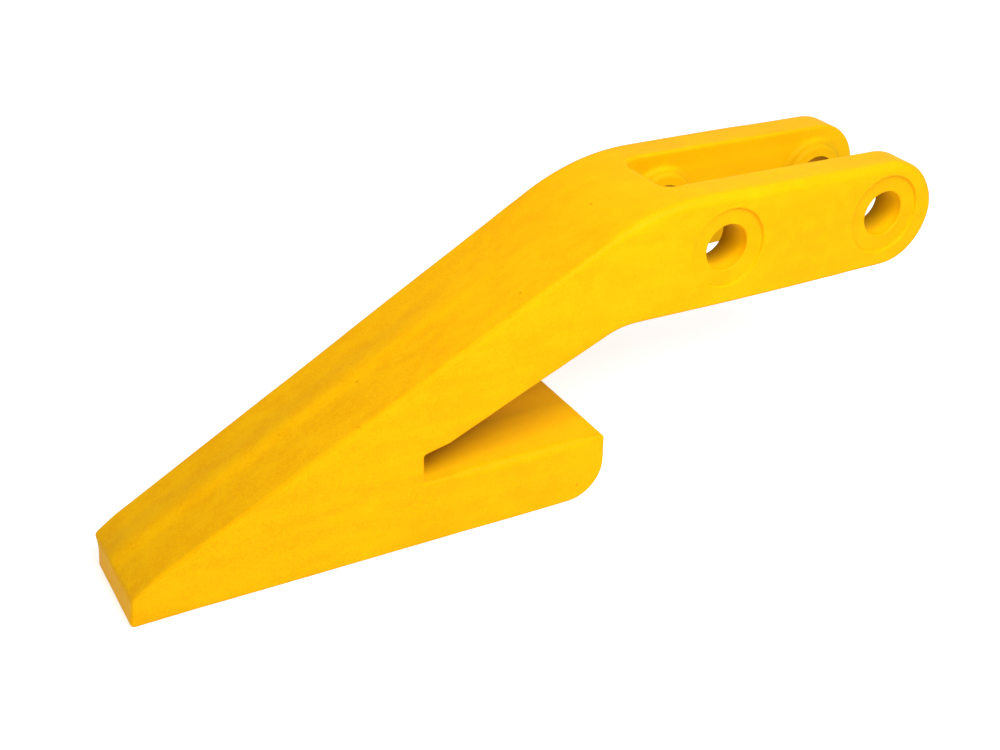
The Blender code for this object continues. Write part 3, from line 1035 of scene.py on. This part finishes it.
@dataclass(frozen=True)
class CastEnamel:
    """Satin alkyd enamel, sprayed over an as-cast steel surface.

    The eye gets one warm yellow with a soft sheen, faint clouds where the coat is thicker, a fine
    sandy grain that shows through it, painted shade in patches along the rounded edges, which damps
    their highlight, and painted shade in the recesses: a little greener at the mouth and brown deep
    inside.
    """

    base: str = "#FBBA04"
    thick: str = "#F5AE03"
    thin: str = "#FDC308"
    # The edge tone is painted shade along the rounded edges, which damps their highlight.
    edge: str = "#F0A602"
    # The mouth and deep tones are painted shade in the recesses: greener at the mouth, brown deep inside.
    mouth_shade: str = "#EECB08"
    deep_shade: str = "#8E6A0C"
    shadow: str = "#E29A06"
    sheen: float = 0.03
    roughness: float = 0.46
    cloud_mm: float = 46.0
    mottle_mm: float = 7.0
    grain_mm: float = 2.2
    sand_mm: float = 1.1
    streak_mm: float = 6.0
    streak_draw: float = 0.16
    pit_mm: float = 21.0
    pit_wander_mm: float = 0.6
    relief_mm: float = 0.20

    def material(self) -> bpy.types.Material:
        """Build the enamel.

        Returns:
            A material whose colour, roughness and relief come from noise, and whose colour also takes
            the painted shade of the casting's rounded edges and recesses.
        """
        material = bpy.data.materials.new("satin_enamel_on_cast_steel")
        material.use_nodes = True
        tree = material.node_tree
        node = partial(add_node, tree)
        shader = tree.nodes["Principled BSDF"]
        place = node("TexCoord").outputs["Object"]
        # Streaks are noise drawn out along the tooth, as the passes of a spray gun leave them.
        draw = (self.streak_draw, 1.0, 1.0)
        drawn = node("Mapping", {"vector_type": "POINT"}, Vector=place, Scale=draw)
        recipes = {
            "cloud": (place, self.cloud_mm, 3.0, 0.5),
            "mottle": (place, self.mottle_mm, 2.0, 0.5),
            "grain": (place, self.grain_mm, 3.0, 0.6),
            "sand": (place, self.sand_mm, 2.0, 0.7),
            "streak": (drawn.outputs["Vector"], self.streak_mm, 3.0, 0.5),
        }
        noise = {
            name: node(
                "TexNoise", Vector=vector, Scale=1 / (size_mm * MM), Detail=detail, Roughness=rough,
            )
            for name, (vector, size_mm, detail, rough) in recipes.items()
        }
        cloud, mottle, grain = (noise[name].outputs["Fac"] for name in ("cloud", "mottle", "grain"))
        # The sand's grain is coarsest at the tip and a third as strong at the ears.
        along = node("SeparateXYZ", Vector=place).outputs["X"]
        coarse = node("MapRange", Value=along, From_Min=0.06, From_Max=-0.14, To_Min=0.35)
        coarse = coarse.outputs["Result"]
        mixed = cloud
        for name, strength in (("sand", 2.4), ("streak", 1.6)):
            swing = node("Math", {"operation": "SUBTRACT"}, i0=noise[name].outputs["Fac"], i1=0.5)
            swing = node("Math", {"operation": "MULTIPLY"}, i0=swing.outputs["Value"], i1=coarse)
            swing = swing.outputs["Value"]
            mixed = node("Math", {"operation": "MULTIPLY_ADD"}, i0=swing, i1=strength, i2=mixed)
            mixed = mixed.outputs["Value"]
        clouds = node("MapRange", Value=mixed, From_Min=0.25, From_Max=0.72)
        spots = node("MapRange", Value=mottle, From_Min=0.45, From_Max=0.75, To_Max=0.35)
        # Painted shade in patches along the rounded edges, which damps their highlight.
        shaded_edge = node("Attribute", {"attribute_name": EDGE_SHADE_ATTRIBUTE}).outputs["Fac"]
        patch = node("MapRange", Value=cloud, From_Min=0.35, From_Max=0.6, To_Min=0.10, To_Max=0.45)
        shaded_edge = node("Math", {"operation": "MULTIPLY"}, i0=shaded_edge, i1=patch.outputs["Result"])
        # Painted shade in the recesses: greener at the mouth, brown deep inside.
        depth = node("Attribute", {"attribute_name": PAINTED_SHADE_ATTRIBUTE}).outputs["Fac"]
        mouth = node("MapRange", Value=depth, From_Max=MOUTH_SHADE_SHARE, To_Max=0.42)
        inside = node("MapRange", Value=depth, From_Min=MOUTH_SHADE_SHARE, To_Max=0.92)
        # A few pits, whose outlines wander with the grain.
        wander = (self.pit_wander_mm * MM,) * 3
        ragged = node(
            "VectorMath", {"operation": "MULTIPLY_ADD"},
            i0=noise["grain"].outputs["Color"], i1=wander, i2=place,
        )
        pit = node("TexVoronoi", Vector=ragged.outputs["Vector"], Scale=1 / (self.pit_mm * MM))
        pit = pit.outputs["Distance"]
        pits = node("MapRange", Value=pit, From_Min=0.018, From_Max=0.048, To_Min=1.0, To_Max=0.0)
        colour = linear(self.thick)
        for share, coat in (
            (clouds.outputs["Result"], self.base),
            (spots.outputs["Result"], self.thin),
            (shaded_edge.outputs["Value"], self.edge),
            (mouth.outputs["Result"], self.mouth_shade),
            (inside.outputs["Result"], self.deep_shade),
            (pits.outputs["Result"], self.shadow),
        ):
            colour = node("Mix", {"data_type": "RGBA"}, i0=share, i6=colour, i7=linear(coat))
            colour = colour.outputs[2]
        tree.links.new(colour, shader.inputs["Base Color"])
        shader.inputs["Specular IOR Level"].default_value = self.sheen
        rough = node(
            "MapRange", Value=mottle, To_Min=self.roughness - 0.06, To_Max=self.roughness + 0.08,
        )
        tree.links.new(rough.outputs["Result"], shader.inputs["Roughness"])
        relief = node("Math", {"operation": "ADD"}, i0=mottle, i1=grain).outputs["Value"]
        sunk = node(
            "Math", {"operation": "MULTIPLY_ADD"}, i0=pits.outputs["Result"], i1=-1.2, i2=relief,
        )
        height = node("Math", {"operation": "MULTIPLY"}, i0=sunk.outputs["Value"], i1=coarse)
        bump = node(
            "Bump", Height=height.outputs["Value"], Strength=0.8, Distance=self.relief_mm * MM,
        )
        tree.links.new(bump.outputs["Normal"], shader.inputs["Normal"])
        return material


@dataclass(frozen=True)
class Lamp:
    """A square soft lamp that looks at the middle of the tooth. Sizes are in metres, power in watts."""

    name: str
    direction: tuple[float, float, float]
    distance: float
    size: float
    power: float
    aim_height: float = 0.06

    def build(self) -> None:
        """Place the lamp at its distance from the tooth, along its direction."""
        data = bpy.data.lights.new(self.name, "AREA")
        data.size = self.size
        data.energy = self.power
        lamp = new_object(self.name, data)
        towards = Vector(self.direction).normalized()
        lamp.location = towards * self.distance + Vector((0, 0, self.aim_height))
        lamp.rotation_euler = towards.to_track_quat("Z", "Y").to_euler()


@dataclass
class Studio:
    """The camera at the photograph's angle, soft lamps and a pale floor. Sizes are in metres."""

    image_width: int = 1000
    focal_px: float = 1473.0
    yaw: float = 0.5103
    pitch: float = 0.5246
    roll: float = 0.0105
    eye: tuple[float, float, float] = (-0.0921, -0.4783, 0.3691)
    sensor_mm: float = 36.0
    lamps: tuple[Lamp, ...] = (
        Lamp("key", (0.066, -0.312, 0.458), 0.56, 0.32, 2.95),
        Lamp("fill", (-1.22, -1.12, 0.07), 1.68, 0.9, 8.7),
    )
    sky: float = 0.40
    floor_reach: float = 12.0
    floor_colour: str = "#F0F0F0"
    floor_glow: float = 0.62

    def camera(self, origin_x: float) -> None:
        """Place the camera.

        Args:
            origin_x: the tip's place along X in the row frame.
        """
        level = math.cos(self.pitch)
        look = Vector((math.sin(self.yaw) * level, math.cos(self.yaw) * level, -math.sin(self.pitch)))
        right = look.cross(Vector((0, 0, 1))).normalized()
        up = right.cross(look)
        turned = right * math.cos(self.roll) + up * math.sin(self.roll)
        upright = up * math.cos(self.roll) - right * math.sin(self.roll)
        data = bpy.data.cameras.new("photo_camera")
        data.sensor_width = self.sensor_mm
        data.lens = self.focal_px * self.sensor_mm / self.image_width
        data.clip_start = 0.01
        camera = new_object("photo_camera", data)
        camera.matrix_world = Matrix((turned, upright, -look)).transposed().to_4x4()
        camera.location = (self.eye[0] + origin_x, self.eye[1], self.eye[2])
        bpy.context.scene.camera = camera

    def world(self) -> None:
        """Light everything evenly from around, with white behind it for rays that see the background."""
        world = bpy.data.worlds.new("studio")
        world.use_nodes = True
        tree = world.node_tree
        background = tree.nodes["Background"]
        seen = self.seen_directly(tree)
        strength = add_node(tree, "MapRange", Value=seen, To_Min=self.sky, To_Max=1.0)
        background.inputs["Color"].default_value = (1, 1, 1, 1)
        tree.links.new(strength.outputs["Result"], background.inputs["Strength"])
        bpy.context.scene.world = world

    def seen_directly(self, tree: bpy.types.NodeTree) -> bpy.types.NodeSocket:
        """Tell the rays that show a thing to the camera from those that only light others.

        Args:
            tree: the node tree that takes the nodes.

        Returns:
            A socket that is 1 for camera, glossy and transmission rays.
        """
        path = add_node(tree, "LightPath")
        seen = path.outputs["Is Camera Ray"]
        for kind in ("Is Glossy Ray", "Is Transmission Ray"):
            seen = add_node(tree, "Math", {"operation": "MAXIMUM"}, i0=seen, i1=path.outputs[kind])
            seen = seen.outputs["Value"]
        return seen

    def floor(self) -> None:
        """Lay the pale floor, which keeps the tooth's shadow."""
        mesh = bpy.data.meshes.new(FLOOR_NAME)
        reach = self.floor_reach
        square = [(-reach, -reach, 0), (reach, -reach, 0), (reach, reach, 0), (-reach, reach, 0)]
        mesh.from_pydata(square, [], [(0, 1, 2, 3)])
        floor = new_object(FLOOR_NAME, mesh)
        # Matt white paper, lit a little from behind: the ground goes white, and the shadow stays soft.
        material = bpy.data.materials.new("matt_floor_paper")
        material.use_nodes = True
        tree = material.node_tree
        shader = tree.nodes["Principled BSDF"]
        shader.inputs["Base Color"].default_value = linear(self.floor_colour)
        shader.inputs["Roughness"].default_value = 1.0
        shader.inputs["Specular IOR Level"].default_value = 0.0
        shader.inputs["Emission Color"].default_value = (1, 1, 1, 1)
        seen = self.seen_directly(tree)
        glow = add_node(tree, "Math", {"operation": "MULTIPLY"}, i0=seen, i1=self.floor_glow)
        tree.links.new(glow.outputs["Value"], shader.inputs["Emission Strength"])
        mesh.materials.append(material)

    def build(self, origin_x: float) -> None:
        """Set up the view, the light and the floor.

        Args:
            origin_x: the tip's place along X in the row frame.
        """
        self.camera(origin_x)
        self.world()
        for lamp in self.lamps:
            lamp.build()
        self.floor()
        bpy.context.scene.view_settings.view_transform = "Standard"


def main() -> None:
    """Build the studio and the casting, and report each."""
    logging.basicConfig(level=logging.INFO, format="%(name)s: %(message)s")
    casting = ToothCasting()
    Studio().build(-casting.length / 2)
    log.info("studio: camera, lamps and floor")
    piece = casting.build()
    piece.data.materials.clear()
    piece.data.materials.append(CastEnamel().material())
    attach(piece, "root")
    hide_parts(CASTING_NODE)


if __name__ == "__main__":
    main()
